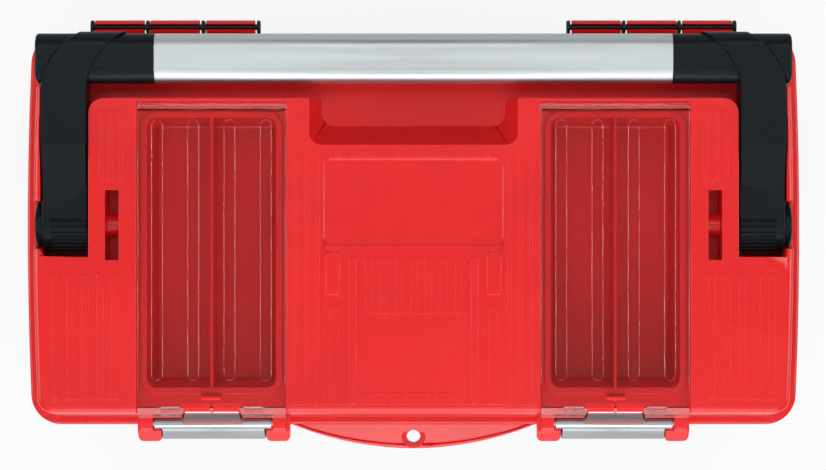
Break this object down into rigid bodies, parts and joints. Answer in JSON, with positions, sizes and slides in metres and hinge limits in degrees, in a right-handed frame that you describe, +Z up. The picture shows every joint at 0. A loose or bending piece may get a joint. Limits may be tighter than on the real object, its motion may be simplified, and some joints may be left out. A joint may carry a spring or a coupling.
{
  "type": "tool box",
  "caption": "Hinged tool box with clear-covered organizers in its lid, front latches, a padlock tongue, a folding handle and a lift-out tray.",
  "frame": {"origin": "on the floor under the middle of the whole box", "axes": "+X along the box to its right as seen from the front, +Y to its hinges, +Z up"},
  "size_m": [0.4584, 0.2554, 0.2245],
  "materials": {
    "red_plastic": "satin moulded polypropylene",
    "black_plastic": "fine-grained moulded polypropylene",
    "handle_black": "smooth satin moulding",
    "clear_plastic": "clear moulded polycarbonate",
    "brushed_aluminium": "brushed lengthwise",
    "latch_metal": "bright zinc plate",
    "screw_steel": "plain"
  },
  "bodies": {
    "base": {"tub": "black_plastic", "tote_tray": "black_plastic", "hinge_rod_left": "black_plastic", "hinge_rod_right": "black_plastic"},
    "lid": {"lid_shell": "red_plastic", "latch_pin_left": "screw_steel", "latch_pin_right": "screw_steel"},
    "handle": {"grip_tube": "brushed_aluminium", "grip_screws": "screw_steel", "handle_arm_left": "handle_black", "handle_arm_right": "handle_black", "handle_pivot_left": "handle_black", "handle_pivot_right": "handle_black"},
    "cover_left": {"organizer_cover_left": "clear_plastic"},
    "cover_right": {"organizer_cover_right": "clear_plastic"},
    "latch_left": {"latch_plate_left": "latch_metal"},
    "latch_right": {"latch_plate_right": "latch_metal"}
  },
  "joints": [
    {"name": "lid_hinge", "type": "hinge", "parent": "base", "child": "lid", "pos_m": [0, 0.1236, 0.153], "axis": [-1, 0, 0], "range_deg": [0, 100]},
    {"name": "handle_swing", "type": "hinge", "parent": "lid", "child": "handle", "pos_m": [0, 0.0055, 0.203], "axis": [1, 0, 0], "range_deg": [0, 90]},
    {"name": "cover_left_hinge", "type": "hinge", "parent": "lid", "child": "cover_left", "pos_m": [-0.116, 0.0736, 0.2198], "axis": [-1, 0, 0], "range_deg": [0, 95]},
    {"name": "cover_right_hinge", "type": "hinge", "parent": "lid", "child": "cover_right", "pos_m": [0.116, 0.0736, 0.2198], "axis": [-1, 0, 0], "range_deg": [0, 95]},
    {"name": "latch_left_pivot", "type": "hinge", "parent": "lid", "child": "latch_left", "pos_m": [-0.116, -0.109, 0.2065], "axis": [-1, 0, 0], "range_deg": [0, 95]},
    {"name": "latch_right_pivot", "type": "hinge", "parent": "lid", "child": "latch_right", "pos_m": [0.116, -0.109, 0.2065], "axis": [-1, 0, 0], "range_deg": [0, 95]}
  ]
}
